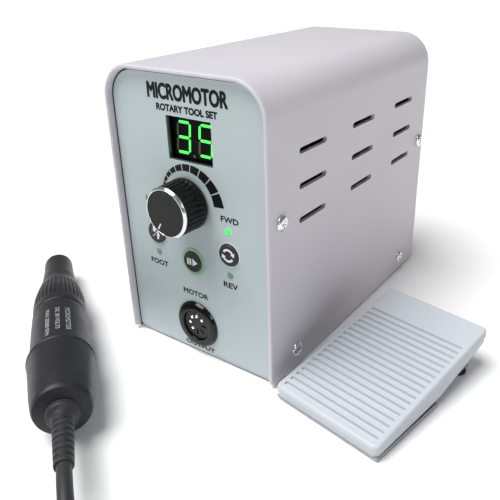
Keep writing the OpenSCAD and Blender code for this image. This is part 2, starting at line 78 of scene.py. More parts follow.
# %% Camera
def aim(azimuth, pitch, roll):
    """Rotation matrix from three angles in degrees: right, up and backwards as its columns."""
    a, p, r = (math.radians(angle) for angle in (azimuth, pitch, roll))
    ahead = Vector((-math.sin(a) * math.cos(p), math.cos(a) * math.cos(p), -math.sin(p)))
    level = Vector((math.cos(a), math.sin(a), 0))
    right = level * math.cos(r) + level.cross(ahead) * math.sin(r)
    return Matrix((right, right.cross(ahead), -ahead)).transposed().to_4x4()


camera = bpy.data.objects.new("studio_camera", bpy.data.cameras.new("studio_camera"))
scene.collection.objects.link(camera)
camera.data.lens, camera.data.sensor_width = 43.2, 36.0
camera.data.shift_x = camera.data.shift_y = -0.05
camera.data.clip_start = 0.01
camera_at = Vector((168.78, -249.11, 177.56)) * MM
camera.matrix_world = Matrix.Translation(camera_at) @ aim(azimuth=35.29, pitch=24.49, roll=-0.94)
scene.camera = camera
scene.view_settings.view_transform = "Standard"
looks = camera.matrix_world.to_3x3() @ Vector((0, 0, -1))
print("camera looks along", [round(v, 3) for v in looks])

# %% [markdown]
# ## From arrays to meshes
# Nearly every piece here is a grid of points: rows run along the piece and columns run round it.
# numpy works out all the points at once, and only the finished array goes into a mesh. The same
# few helpers serve the whole set: one lists the quads of a grid, one closes its ends, and one
# makes the Blender object, merges doubled points and turns every face outwards.

# %% Grid helpers
def quads(rows, cols, round_rows=False, round_cols=True, start=0):
    """Quads between neighbours of a rows x cols grid. A round direction joins its last line to
    its first."""
    i, j = np.meshgrid(np.arange(rows if round_rows else rows - 1),
                       np.arange(cols if round_cols else cols - 1), indexing="ij")
    i2, j2 = (i + 1) % rows, (j + 1) % cols
    corners = np.stack([i * cols + j, i * cols + j2, i2 * cols + j2, i2 * cols + j], -1)
    return (start + corners).reshape(-1, 4).tolist()


def capped(rows, cols):
    """The quads of an open tube, and a flat face over each end."""
    ends = [list(range(cols))[::-1], list(range((rows - 1) * cols, rows * cols))]
    return quads(rows, cols) + ends


def together(*shapes):
    """Several (points, faces) shapes as one: each one's face numbers start after the points
    before it."""
    starts = np.cumsum([0] + [len(points) for points, _ in shapes])
    return (np.vstack([points for points, _ in shapes]),
            [[int(start) + k for k in face]
             for start, (_, faces) in zip(starts, shapes) for face in faces])


def put(shape, place, *where):
    """A shape whose points have gone through a placing function, such as on_panel."""
    points, faces = shape
    return place(points, *where), faces


def piece(name, shape, body, slot, stands_for=(), sharp=32, look=None):
    """A Blender object from (points in millimetres, faces), riding on a CAD body. It takes its
    finish from a record slot, or wears another look, such as ink, on top of that slot's surface."""
    points, faces = shape
    mesh = bpy.data.meshes.new(name)
    mesh.from_pydata((np.asarray(points, float).reshape(-1, 3) * MM).tolist(), [], faces)
    work = bmesh.new()
    work.from_mesh(mesh)
    bmesh.ops.remove_doubles(work, verts=work.verts, dist=2e-6)
    bmesh.ops.recalc_face_normals(work, faces=work.faces)
    work.to_mesh(mesh)
    work.free()
    mesh.shade_smooth()
    mesh.set_sharp_from_angle(angle=math.radians(sharp))
    obj = bpy.data.objects.new(name, mesh)
    scene.collection.objects.link(obj)
    mesh.materials.append(finishes[look or slot])
    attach(obj, body)
    if stands_for:
        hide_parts(*stands_for)
    return obj


finishes = {}
print("helpers ready")

# %% Profiles, lathes and sweeps
def softened(profile, reach, steps=5, closed=True):
    """Rounds a profile's corners: each corner becomes a quadratic blend that starts and ends at
    most reach away from it, or at 0.45 of a shorter side. Open ends stay where they are."""
    p = np.asarray(profile, float)

    def toward(q):
        step = q - p
        size = np.maximum(np.linalg.norm(step, axis=1, keepdims=True), 1e-9)
        return p + step * np.minimum(reach / size, 0.45)

    t = np.linspace(0, 1, steps)[None, :, None]
    a, b = toward(np.roll(p, 1, 0))[:, None], toward(np.roll(p, -1, 0))[:, None]
    out = (1 - t) ** 2 * a + 2 * t * (1 - t) * p[:, None] + t ** 2 * b
    if not closed:
        out[0], out[-1] = p[0], p[-1]
    return out.reshape(-1, 2)


def stations(profile, step, closed=False):
    """More points along a profile, at most step apart, so that a relief has points to move."""
    p = np.asarray(profile, float)
    if closed:
        p = np.vstack([p, p[:1]])
    counts = np.ceil(np.linalg.norm(np.diff(p, axis=0), axis=1) / step).astype(int)
    runs = [np.linspace(a, b, n, endpoint=False)
            for a, b, n in zip(p[:-1], p[1:], np.maximum(counts, 1))]
    return np.vstack(runs if closed else runs + [p[-1:]])


def turned(profile, around=96, relief=None, closed=True):
    """A lathe: the profile's (radius, station) pairs are turned round the Z axis. relief(radius,
    station, angle) is taken off the radius, to cut flutes and slots. A closed profile makes a
    ring."""
    radius, station = np.asarray(profile, float).T[:, :, None]
    angle = np.linspace(0, 2 * np.pi, around, endpoint=False)[None, :]
    radius = radius - (relief(radius, station, angle) if relief else 0)
    radius = np.maximum(radius, 0)
    points = np.stack(np.broadcast_arrays(radius * np.cos(angle), radius * np.sin(angle), station), -1)
    return points.reshape(-1, 3), quads(len(station), around, round_rows=closed)


def carried(section, path, steady, closed=False):
    """A section carried along a path. At each point the section's first axis is square to the path
    and to the steady direction, and its second axis is square to both."""
    path = np.asarray(path, float)
    step = np.roll(path, -1, 0) - np.roll(path, 1, 0)
    if not closed:
        step[0], step[-1] = path[1] - path[0], path[-1] - path[-2]
    step /= np.linalg.norm(step, axis=1, keepdims=True)
    side = np.cross(step, steady)
    side /= np.linalg.norm(side, axis=1, keepdims=True)
    up = np.cross(side, step)
    s = np.asarray(section, float)
    points = path[:, None] + side[:, None] * s[None, :, :1] + up[:, None] * s[None, :, 1:]
    rows, cols = points.shape[:2]
    faces = quads(rows, cols, round_rows=True) if closed else capped(rows, cols)
    return points.reshape(-1, 3), faces


def circle(radius, count):
    """count points evenly round a circle."""
    angle = np.linspace(0, 2 * np.pi, count, endpoint=False)
    return radius * np.stack([np.cos(angle), np.sin(angle)], -1)


def eased(value):
    """0 below 0 and 1 above 1, with the smooth cubic 3v^2 - 2v^3 between."""
    v = np.clip(value, 0, 1)
    return v * v * (3 - 2 * v)


print("a softened square has", len(softened([[0, 0], [1, 0], [1, 1], [0, 1]], 0.2)), "points")

# %% [markdown]
# ## Finishes
# Each real surface differs in three ways at once: its colour drifts a little, its gloss is uneven
# where it was handled or moulded, and its skin has a grain. One function builds all three from
# noise on object coordinates, so the grain stays at its true size on every piece, whatever the
# piece's shape. The metals add lines left by turning or rolling, and the lit pieces add light.

# %% Finish builder
def linear(r, g, b):
    """The linear colour for screen values from 0 to 255: a gamma curve with a straight toe."""
    c = np.array([r, g, b]) / 255
    return tuple(np.where(c <= 0.04045, c / 12.92, ((c + 0.055) / 1.055) ** 2.4)) + (1.0,)


def finish(slot, colour, rough, drift=(0.05, 18), uneven=(0.06, 7), grain=(0.02, 0.5), metal=0.0,
           stretch=(1, 1, 1), coat=0.0, glow=0.0, sheen=0.0, specular=0.5):
    """One material. drift, uneven and grain are pairs: how much the colour, the gloss and the
    height change, and how many millimetres across the patches are. The grain's height is in
    millimetres too. stretch above 1 along an axis makes the grain run across that axis."""
    material = bpy.data.materials.new(slot)
    material.use_nodes = True
    tree = material.node_tree
    shader, place = tree.nodes["Principled BSDF"], tree.nodes.new("ShaderNodeTexCoord")

    def noise(size, scale=(1, 1, 1), detail=3):
        mapping, cloud = (tree.nodes.new("ShaderNode" + kind) for kind in ("Mapping", "TexNoise"))
        mapping.inputs["Scale"].default_value = scale
        cloud.inputs["Scale"].default_value = METRE / size
        cloud.inputs["Detail"].default_value = detail
        tree.links.new(place.outputs["Object"], mapping.inputs["Vector"])
        tree.links.new(mapping.outputs["Vector"], cloud.inputs["Vector"])
        return cloud.outputs["Fac"]

    ramp, gloss = (tree.nodes.new("ShaderNode" + kind) for kind in ("ValToRGB", "MapRange"))
    for stop, at, more in zip(ramp.color_ramp.elements, (0.3, 0.7), (-drift[0], drift[0])):
        shade = np.array(linear(*colour)) * [1 + more, 1 + more, 1 + 0.8 * more, 1]
        stop.position, stop.color = at, tuple(np.minimum(shade, 1))
    tree.links.new(noise(drift[1]), ramp.inputs["Fac"])
    tree.links.new(ramp.outputs["Color"], shader.inputs["Base Color"])
    gloss.inputs["To Min"].default_value = max(rough - uneven[0], 0.02)
    gloss.inputs["To Max"].default_value = min(rough + uneven[0], 1)
    tree.links.new(noise(uneven[1]), gloss.inputs["Value"])
    tree.links.new(gloss.outputs["Result"], shader.inputs["Roughness"])
    if grain:
        bump = tree.nodes.new("ShaderNodeBump")
        bump.inputs["Distance"].default_value = grain[0] * MM
        bump.inputs["Strength"].default_value = 0.8
        tree.links.new(noise(grain[1], stretch, 2), bump.inputs["Height"])
        tree.links.new(bump.outputs["Normal"], shader.inputs["Normal"])
    for socket, value in (("Metallic", metal), ("Coat Weight", coat), ("Coat Roughness", 0.08),
                          ("Sheen Weight", sheen), ("Specular IOR Level", specular)):
        shader.inputs[socket].default_value = value
    if glow:
        tree.links.new(ramp.outputs["Color"], shader.inputs["Emission Color"])
        shader.inputs["Emission Strength"].default_value = glow
    finishes[slot] = material
    return material


print("finish builder ready")

# %% Painted steel, printed film and plated sheet
finish("grey_paint", (213, 209, 216), 0.42, (0.02, 40), (0.05, 7), (0.03, 0.45), specular=0.3)
finish("panel_film", (184, 197, 200), 0.4, (0.035, 60), (0.04, 25), (0.006, 0.25))
finish("plated_sheet", (176, 180, 184), 0.34, (0.06, 9), grain=(0.02, 1.2), metal=0.9, stretch=(1, 9, 9))
finish("board_green", (22, 92, 52), 0.35, (0.18, 3), grain=(0.02, 0.8), coat=0.3)
print("sheet finishes:", sorted(finishes))

# %% Moulded plastics and rubbers
finish("pen_black", (38, 38, 42), 0.42, (0.08, 10), (0.07, 7), (0.03, 0.35), specular=0.35)
finish("knob_black", (20, 21, 21), 0.24, (0.1, 6), (0.08, 7), (0.012, 0.3), specular=0.22)
finish("button_black", (36, 37, 38), 0.42, (0.08, 4), grain=(0.015, 0.25))
finish("socket_gloss", (13, 13, 15), 0.13, (0.1, 8), (0.04, 7), (0.004, 0.6), specular=0.3)
finish("insert_black", (30, 31, 33), 0.4, (0.1, 3), grain=(0.02, 0.3), specular=0.3)
finish("display_black", (7, 7, 7), 0.3, (0.1, 6), (0.03, 7), grain=None, specular=0.05)
finish("part_black", (34, 35, 37), 0.46, (0.1, 6), grain=(0.03, 0.4))
finish("plug_black", (36, 36, 38), 0.48, (0.1, 8), grain=(0.03, 0.4))
finish("cord_rubber", (36, 36, 39), 0.58, (0.12, 12), (0.1, 7), (0.03, 0.3), sheen=0.1)
finish("black_rubber", (38, 38, 40), 0.75, (0.15, 5), grain=(0.06, 0.5), sheen=0.1)
finish("pedal_grey", (197, 203, 210), 0.46, (0.02, 25), (0.05, 7), (0.02, 0.4))
finish("pedal_shade", (160, 165, 176), 0.5, (0.03, 15), (0.05, 7), (0.03, 0.4))
finish("plunger_red", (176, 58, 50), 0.4, (0.08, 3), grain=(0.01, 0.3))
finish("sleeve_blue", (30, 54, 104), 0.28, (0.1, 5), grain=(0.02, 0.8))
print("moulded finishes:", len(finishes))

# %% Bright metals
finish("screw_chrome", (226, 228, 232), 0.14, (0.04, 2), (0.06, 1.2), (0.01, 0.3), metal=1)
finish("steel_bright", (214, 216, 219), 0.2, (0.05, 1.5), (0.08, 0.8), (0.012, 0.3), 1, (6, 6, 1))
finish("contact_plated", (236, 233, 224), 0.14, (0.06, 1.5), grain=(0.01, 0.3), metal=1)
finish("aluminium_plain", (192, 195, 199), 0.36, (0.05, 6), grain=(0.03, 0.8), metal=1, stretch=(8, 8, 1))
finish("standoff_brass", (206, 170, 96), 0.26, (0.06, 2), grain=(0.02, 0.4), metal=1)
finish("copper_wound", (184, 104, 58), 0.34, (0.14, 1.2), grain=(0.12, 1), metal=0.8, stretch=(1, 1, 5))
finish("iron_core", (92, 94, 98), 0.5, (0.12, 4), grain=(0.08, 0.7), metal=0.7, stretch=(1, 7, 1))
print("all finishes so far:", len(finishes))

# %% Lamps and printed ink
finish("lit_segments", (72, 250, 92), 0.4, (0.04, 3), grain=None, glow=1)
finish("lamp_lit", (38, 238, 78), 0.3, (0.06, 1.5), grain=None, glow=1.1)
finish("lamp_idle", (104, 160, 120), 0.35, (0.1, 1.5), grain=None)
finish("ring_green", (150, 196, 160), 0.3, (0.08, 2), grain=None)
finish("ink_black", (9, 10, 11), 0.55, (0.1, 1.5), grain=(0.004, 0.2), specular=0.2)
finish("ink_white", (238, 240, 240), 0.45, (0.03, 1.5), grain=(0.004, 0.2))
finish("ink_grey", (166, 168, 171), 0.5, (0.08, 1), grain=(0.004, 0.2))
finish("segment_off", (84, 78, 74), 0.4, (0.08, 1.5), grain=None, specular=0.2)
slot_of = {row["node"]: row["material_slot"] for row in record["subparts"]}
for name, node in nodes.items():
    for holder in node.material_slots:
        holder.material = finishes[slot_of[name]]
print(len(finishes), "finishes on", len(slot_of), "CAD nodes")

# %% [markdown]
# ## The cord and its plug
# The real cord is about a metre and a half of soft round cable. It leaves the handpiece through a
# ribbed sleeve, drops to the table, and the length that isn't in use is wound into a flat coil,
# two layers deep, that ends in a round metal-ringed plug. A coil is one long path: its angle runs
# steadily, its radius shrinks and then grows again, and half way it climbs onto the lower layer.

# %% The cord's path
cord_d = 5.5
lead_stops = np.array([[19.3, -166.1, 17.1], [25.3, -170.5, 17], [31.4, -174.9, 15.6], [37.5, -179.3, 12.6],
                       [43.5, -183.7, 8.8], [49.2, -187.9, 5.5], [54.4, -191.7, 3.4], [59.7, -195.5, 2.8]])
tail_stops = np.array([[22.2, -266, 8.4], [10.9, -261.9, 8.5], [-0.8, -257.6, 8.6]])
coil_at, coil_radius, coil_hole = np.array([36, -228]), 40.4, 19.6
enters, leaves, whole_turns = 53.9, -110, 7  # angles in degrees, and the whole turns between
layer_z, layer_up = 2.8, 5.6  # the lower layer's middle, and the step to the upper


def through(stops, spans):
    """A smooth curve through the stops: between two of them it is the cubic whose slope at each
    stop is half the step from the stop before to the stop after."""
    p = np.vstack([2 * stops[0] - stops[1], stops, 2 * stops[-1] - stops[-2]])
    a, b, c, d = (p[k:len(p) - 3 + k][:, None] for k in range(4))
    t = np.linspace(0, 1, spans, endpoint=False)[None, :, None]
    curve = 0.5 * (2 * b + (c - a) * t + (2 * a - 5 * b + 4 * c - d) * t ** 2
                   + (3 * b - a - 3 * c + d) * t ** 3)
    return np.vstack([curve.reshape(-1, 3), stops[-1]])


turns = (enters - leaves) / 360 + whole_turns
along = np.linspace(0, 1, 361)[1:-1]
coil_turn = np.radians(enters) - 2 * np.pi * turns * along
coil_r = coil_radius - (coil_radius - coil_hole) * (1 - np.abs(2 * along - 1))
coil_z = layer_z + layer_up * eased((along - 0.5) * turns * 2 + 0.5)
coil_x, coil_y = coil_at[0] + coil_r * np.cos(coil_turn), coil_at[1] + coil_r * np.sin(coil_turn)
coil = np.stack([coil_x, coil_y, coil_z], -1)
cord_path = np.vstack([through(lead_stops, 5), coil, through(tail_stops, 4)])

# %% The cord itself
cord = piece("handpiece_cord", carried(circle(cord_d / 2, 16), cord_path, (0, 0, 1)), "handpiece",
             "cord_rubber", ("cord_lead", "cord_coil", "cord_tail"), sharp=60)
print(cord.name, len(cord.data.vertices), "points")

# %% The plug on the cord's end
heading = math.radians(160)
plug_axes = np.array([[0, 0, -1], [-math.sin(heading), math.cos(heading), 0],
                      [math.cos(heading), math.sin(heading), 0]])


def on_plug(points):
    """From the plug's own frame, whose Z runs from the cord to the pins, to its place on the coil."""
    return points @ plug_axes + tail_stops[-1]


def plug_relief(r, s, a):
    """Twelve shallow finger grooves that fade in and out along the grip, and rings round the
    flexible boot behind it."""
    grooves = 0.35 * (r > 8) * eased((s - 18) / 4) * eased((36 - s) / 4) * (0.5 - 0.5 * np.cos(12 * a))
    rings = 0.35 * (r > 3) * (s < 12.6) * (s > 1.5) * (0.5 - 0.5 * np.cos(2 * np.pi * s / 2.2)) + 0 * a
    return grooves + rings


plug_outline = softened([[0, 0], [3.4, 0], [4.4, 13], [6.6, 14.5], [8.2, 16], [8.4, 38], [7.6, 39],
                         [7.1, 39.1], [7.1, 40.8], [0, 41]], 0.5, closed=False)
plug_shape = turned(stations(plug_outline, 0.45), 96, plug_relief, closed=False)
plug = piece("plug_body_moulded", put(plug_shape, on_plug), "handpiece", "plug_black", ("plug_body",))
ring_outline = softened([[6.62, 39.3], [7.0, 39.3], [7.0, 46.8], [6.85, 47], [6.62, 47]], 0.15)
plug_ring = piece("plug_ring", put(turned(ring_outline, 72), on_plug), "handpiece", "contact_plated")
print("plug", len(plug.data.vertices), "points")

# %% A strap round the coil
strap_turn, floor_gap = math.radians(205), 0.02
outward = np.array([math.cos(strap_turn), math.sin(strap_turn), 0])
sideways = np.array([-math.sin(strap_turn), math.cos(strap_turn), 0])
bundle = softened([[16.3, 0.05], [43.8, 0.05], [43.8, 11.6], [16.3, 11.6]], 2.6, steps=9)
bundle = stations(bundle, 1.2, closed=True)
strap_path = np.array([*coil_at, 0]) + bundle[:, :1] * outward + bundle[:, 1:] * (0, 0, 1)
strap_section = softened([[-0.3, -5], [0.3, -5], [0.3, 5], [-0.3, 5]], 0.25)
strap_points, strap_faces = carried(strap_section, strap_path, sideways, closed=True)
strap_points[:, 2] = np.maximum(strap_points[:, 2], floor_gap)
strap = piece("coil_strap", (strap_points, strap_faces), "handpiece", "plug_black", sharp=50)
print("strap round", len(bundle), "stations")

# %% [markdown]
# ## The box's cover
# The cover is one sheet of painted steel bent over the box: two flat sides, two round bends and a
# flat top, with the cut front and back edges rounded by the paint. It could be a cube with bevels,
# but the sheet has an inside too. So an arch is carried along the box's depth as a closed section:
# out along the outer face, round the rim, back along the inner face and round the other rim.

# %% Cover shell
cover_low, cover_high = box_of("cover")
half_width, top, front, back = cover_high[0], cover_high[2], cover_low[1], cover_high[1]
bend, sheet, skirt_z, lower_r = 16.0, 2.0, cover_low[2], 2.0


def arch_line(count=20):
    """The middle of the sheet seen from the front, and its outward normal: up the left side, round a
    bend, across the top, round the other bend and down the right side."""
    r, side = bend - sheet / 2, half_width - sheet / 2
    turn = np.linspace(np.pi, np.pi / 2, count)
    rise = np.array([0, 0.3, 0.7, 1.2, 2, 3, 12, 50, 100]) + skirt_z
    left = np.stack([np.full(len(rise), -side), rise], -1)
    curl = np.stack([-side + r + r * np.cos(turn), top - bend + r * np.sin(turn)], -1)
    half = np.vstack([left, curl, [[-8, top - sheet / 2]]])
    bend_lean = np.stack([np.cos(turn), np.sin(turn)], -1)
    lean = np.vstack([np.tile([-1, 0], (len(rise), 1)), bend_lean, [[0, 1]]])
    flip = np.array([-1, 1])
    return np.vstack([half, (half * flip)[::-1]]), np.vstack([lean, (lean * flip)[::-1]])


middle, lean = arch_line()
rim = np.linspace(0, np.pi, 9)
off_middle = np.concatenate([np.cos(rim), -np.cos(rim)]) * sheet / 2
depth = np.concatenate([back - 1 + np.sin(rim), front + 1 - np.sin(rim)])
below = np.maximum(lower_r - (middle[:, 1] - skirt_z), 0)  # the lower corners are rounded
pull_in = lower_r - np.sqrt(np.maximum(lower_r ** 2 - below ** 2, 0))
depth = depth[None] - np.sign(depth)[None] * pull_in[:, None]
section = middle[:, None] + lean[:, None] * off_middle[None, :, None]
shell = np.stack([section[..., 0], depth, section[..., 1]], -1)
rows, cols = shell.shape[:2]
cover = piece("painted_cover", (shell.reshape(-1, 3), capped(rows, cols)), "control_box", "grey_paint",
              ("cover",))
print("cover shell", rows, "x", cols)

# %% Vent slots, cut by a Boolean
def stadium(length, width, count=12):
    """A slot's outline: two half circles joined by straight sides."""
    turn = np.linspace(-np.pi / 2, np.pi / 2, count)
    end = np.stack([(length - width) / 2 + np.cos(turn) * width / 2, np.sin(turn) * width / 2], -1)
    return np.vstack([end, -end])


def prism(outline, low_x, high_x):
    """An outline in Y and Z drawn out along X."""
    ends = [np.column_stack([np.full(len(outline), x), outline]) for x in (low_x, high_x)]
    return np.vstack(ends), capped(2, len(outline))


slots = [prism(stadium(21.6, 2.6) + (y, z), *side) for y in (-44, 1, 46) for z in (104.7, 89.4, 74.1)
         for side in ((-50, -38), (38, 50))]
cutter = piece("slot_cutter", together(*slots), "control_box", "grey_paint")
cut = cover.modifiers.new("slots", "BOOLEAN")
cut.operation, cut.solver, cut.object = "DIFFERENCE", "EXACT", cutter
bpy.context.view_layer.update()
cut_mesh = bpy.data.meshes.new_from_object(cover.evaluated_get(bpy.context.evaluated_depsgraph_get()))
cover.modifiers.clear()
cover.data = cut_mesh
bpy.data.objects.remove(cutter)
edge = cover.modifiers.new("slot_edges", "BEVEL")
edge.width, edge.segments, edge.harden_normals = 0.00025, 2, True
edge.limit_method, edge.angle_limit = "ANGLE", math.radians(50)
cover.data.shade_smooth()
print("cover after cutting:", len(cover.data.polygons), "faces")

# %% [markdown]
# ## Screws with a cross recess
# A pan-head screw is a low dome with a cross punched into it. As a formula it is a height over a
# disc: the dome's height, less the recess where the point lies within the cross's arms. All eight
# screws are the same grid of points, turned to face left or right and moved to their places.

# %% Cover screws
def pan_head(radius, height, rings=26, around=72):
    """A pan head with its flat base at 0: the height over the disc falls towards the rim, and a cross
    of tapering arms is sunk into it."""
    r = radius * np.concatenate([np.linspace(0, 0.66, rings), np.linspace(0.69, 1, 10)])[:, None]
    a = np.linspace(0, 2 * np.pi, around, endpoint=False)[None]
    x, y = r * np.cos(a), r * np.sin(a)
    dome = height * (1 - 0.55 * (r / radius) ** 4) * np.where(r < radius, 1, 0.45)
    arm, reach = np.minimum(np.abs(x), np.abs(y)), np.maximum(np.abs(x), np.abs(y))
    sunk = 1.05 * eased((0.52 - arm) / 0.14) * eased((0.62 * radius - reach) / 0.9)
    points = np.stack([x, y, dome - sunk], -1)
    base = np.stack([radius * np.cos(a), radius * np.sin(a), np.zeros_like(a)], -1)
    points = np.concatenate([points, base])
    rows = len(points)
    base_face = list(range((rows - 1) * around, rows * around))
    return points.reshape(-1, 3), quads(rows, around) + [base_face]


head, head_faces = pan_head(3.5, 1.9)
screw_spots = [(-68.6, 78.2), (69.9, 78), (-57.4, 10.8), (54.4, 9.8)]


def facing(side, y, z, spin):
    """A screw head on the left (-1) or right (1) wall: its own height becomes distance from the wall."""
    c, s = math.cos(spin), math.sin(spin)
    u, v = head[:, 0] * c - head[:, 1] * s, head[:, 0] * s + head[:, 1] * c
    return np.stack([side * (half_width + head[:, 2]), y + u, z + v], -1), head_faces


heads = [facing(side, y, z, 0.35 + 0.9 * k + side)
         for side in (-1, 1) for k, (y, z) in enumerate(screw_spots)]
screws = piece("cover_screw_heads", together(*heads), "control_box", "screw_chrome",
               ("cover_screws",), sharp=40)
print(len(heads), "screws,", len(screws.data.polygons), "faces")

# %% [markdown]
# ## The front panel
# A printed plastic film covers the steel front wall. Its film is the CAD node, and the print is
# added as thin ink. Ink is drawn as flat outlines with a depth of a few hundredths of a
# millimetre, so that it catches light as real ink does and never fights with the film under it.

# %% Places on the panel
panel_y = box_of("front_overlay")[0][1]
dial = centre_of("knob_body")
ink = 0.04


def on_panel(points, x=0.0, z=0.0, proud=0.0):
    """From drawing axes (right, up, out) to the panel: right is +X, up is +Z and out is -Y."""
    p = np.asarray(points, float)
    return np.stack([x + p[:, 0], panel_y - proud - p[:, 2], z + p[:, 1]], -1)


def spun(outline, degrees):
    """An outline turned anticlockwise round the origin."""
    c, s = math.cos(math.radians(degrees)), math.sin(math.radians(degrees))
    return np.asarray(outline, float) @ np.array([[c, s], [-s, c]])


def front_piece(name, shape, at, slot, stands_for=(), body="control_box", proud=0.0, **looks):
    """A piece drawn in the panel's axes round the place at, and proud of the film's face."""
    return piece(name, put(shape, on_panel, *at, proud), body, slot, stands_for, **looks)


def slab(outline, thick=ink, sink=0.02):
    """A flat outline given a small depth: sink below the surface and thick above it."""
    outline = np.asarray(outline, float)
    ends = [np.column_stack([outline, np.full(len(outline), w)]) for w in (-sink, thick)]
    return np.vstack(ends), capped(2, len(outline))


def lettering(words, width, height, heavy=0.0):
    """Words as closed slabs, centred on the origin: the outline text is made a mesh, then stretched
    to the wanted width and cap height. Heavy letters are nine copies, eight of them shifted round it."""
    text = bpy.data.curves.new("words", "FONT")
    text.body, text.extrude, text.resolution_u = words, 0.5, 4
    holder = bpy.data.objects.new("words", text)
    scene.collection.objects.link(holder)
    bpy.context.view_layer.update()
    flat = bpy.data.meshes.new_from_object(holder.evaluated_get(bpy.context.evaluated_depsgraph_get()))
    points = np.empty(len(flat.vertices) * 3, np.float32)
    flat.vertices.foreach_get("co", points)
    points = points.reshape(-1, 3).astype(float)
    faces = [list(face.vertices) for face in flat.polygons]
    bpy.data.objects.remove(holder)
    low, high = points.min(0), points.max(0)
    size = (width - 2 * heavy, height - 2 * heavy, 0.06)
    points = (points - (low + high) / 2) / (high - low) * size + (0, 0, 0.01)
    shifts = [(0, 0), *circle(heavy, 8)] if heavy else [(0, 0)]
    return together(*((points + (dx, dz, 0.002 * k), faces) for k, (dx, dz) in enumerate(shifts)))


def printed(words, x0, x1, z0, z1, heavy=0.12):
    """Words printed on the panel between two x and two z values."""
    return put(lettering(words, x1 - x0, z1 - z0, heavy), on_panel, (x0 + x1) / 2, (z0 + z1) / 2)


print("panel plane y =", round(float(panel_y), 2), "dial centre", [round(v, 1) for v in dial])

# %% Painted shadow gap between panel and cover
# A dark strip stands for the shade in the gap under the cover's rim, round the panel's sides and top:
# painted shadow. Each corner is a distance off the middle of the cover's sheet, and one behind the panel's
# face.
shadow_gap = np.array([[-0.97, -0.08], [-1.75, -0.08], [-1.75, 0.3], [-0.97, 0.3]])
shadow_gap_line = middle[:, None] + lean[:, None] * shadow_gap[None, :, :1]
shadow_gap_y = np.broadcast_to(panel_y + shadow_gap[:, 1], shadow_gap_line.shape[:2])
strip = np.stack([shadow_gap_line[..., 0], shadow_gap_y, shadow_gap_line[..., 1]], -1)
# The strip wears the black rubber finish, but it is painted shadow, not a real gasket.
piece("panel_shadow_gap", (strip.reshape(-1, 3), capped(len(middle), 4)), "control_box", "black_rubber")
print("gasket round", len(middle), "points")

# %% Words on the panel
labels = together(
    printed("MICROMOTOR", -19.8, 23.7, 122.8, 129.8, 0.36),
    printed("ROTARY TOOL SET", -15.2, 18.1, 118.1, 121.2, 0.2),
    printed("FWD", 16.8, 26.3, 74.5, 77.3), printed("REV", 16.4, 24.4, 42.9, 45.7),
    printed("HAND", -27.4, -17.0, 74.3, 77.1), printed("FOOT", -28.5, -17.4, 42.4, 45.1),
    printed("MOTOR", -8.7, 6.5, 31.9, 34.7), printed("OUTPUT", -9.9, 8.5, 3.1, 5.4))
piece("panel_words", labels, "control_box", "panel_film", look="ink_black", sharp=20)
print("panel words:", len(labels[1]), "faces")

# %% Speed scale round the knob
def arc_band(inner, outer, start, end, steps=14):
    """A piece of a ring between two angles, whose outer radius may grow from one end to the other."""
    a = np.radians(np.linspace(start, end, steps))
    inner, outer = np.broadcast_to(inner, a.shape), np.linspace(*outer, steps)
    return np.vstack([np.stack([inner * np.cos(a), inner * np.sin(a)], -1),
                      np.stack([outer * np.cos(a), outer * np.sin(a)], -1)[::-1]])


scale_start, scale_sweep, gap = 170, 166, 0.9  # degrees
share = np.linspace(0.55, 1.35, 11)  # each block is longer than the last
edges = scale_start - scale_sweep * np.concatenate([[0], np.cumsum(share / share.sum())])


def scale_radius(a):
    """The scale's outer radius, which grows from its start to its end."""
    return 15.3 + 4.7 * (scale_start - a) / scale_sweep


blocks = [slab(arc_band(14.4, (scale_radius(a), scale_radius(b)), a - gap, b + gap))
          for a, b in zip(edges[:-1], edges[1:])]
front_piece("speed_scale", together(*blocks), dial, "panel_film", look="ink_black", sharp=20)
print("speed scale:", len(blocks), "blocks")

# %% [markdown]
# ## The speed knob
# The knob is a black fluted barrel with a flat face inside a bright metal ring. The flutes are a
# wave taken off the radius, strongest near the face and gone at the skirt, which is how such
# knobs are moulded so that they leave the mould. The pointer line is ink set near the rim.

# %% Knob
knob_low, knob_high = box_of("knob_body")
knob_r, knob_face = (knob_high[0] - knob_low[0]) / 2, panel_y - knob_low[1]


def knob_flutes(r, s, a):
    """Thirty rounded grooves round the barrel, fading out just above the skirt."""
    wave = (0.5 - 0.5 * np.cos(30 * a)) ** 2
    return 0.55 * wave * (r > 10) * eased((s - 2.6) / 1.2) * eased((knob_face - 1.0 - s) / 0.3)


barrel = [[6.1, 1.0], [knob_r, 1.0], [knob_r, 2.4], [knob_r - 0.15, 2.9], [knob_r - 0.45, knob_face - 1.35],
          [knob_r - 0.9, knob_face - 1.35], [knob_r - 1.6, knob_face - 1.35],
          [knob_r - 1.65, knob_face - 0.12], [knob_r - 2.3, knob_face - 0.2], [0.0, knob_face - 0.24]]
profile = stations(softened(barrel, 0.25, 4, closed=False), 0.5)
under = np.array([[0.0, 5.6], [3.3, 5.6], [6.1, 5.4], [6.1, 1.0]])
knob = turned(np.vstack([under, profile]), 360, knob_flutes, closed=False)
front_piece("knob_fluted", knob, dial, "knob_black", ("knob_body",), "speed_knob", sharp=40)
bright = softened([[knob_r - 1.55, knob_face - 1.3], [knob_r - 0.42, knob_face - 1.3],
                   [knob_r - 0.42, knob_face - 0.9], [knob_r - 1.2, knob_face],
                   [knob_r - 1.55, knob_face]], 0.12)
front_piece("knob_bright_ring", turned(bright, 144), dial, "screw_chrome", ("knob_ring",), "speed_knob",
            sharp=40)
pointer_turn = 239  # degrees, at rest
pointer = softened([[6.4, -0.34], [9.6, -0.34], [9.6, 0.34], [6.4, 0.34]], 0.2)
front_piece("knob_pointer", slab(spun(pointer, pointer_turn)), dial, "knob_black", body="speed_knob",
            proud=knob_face - 0.23, look="ink_white")
print("knob radius", round(knob_r, 2), "face", round(knob_face, 2), "mm off the panel")

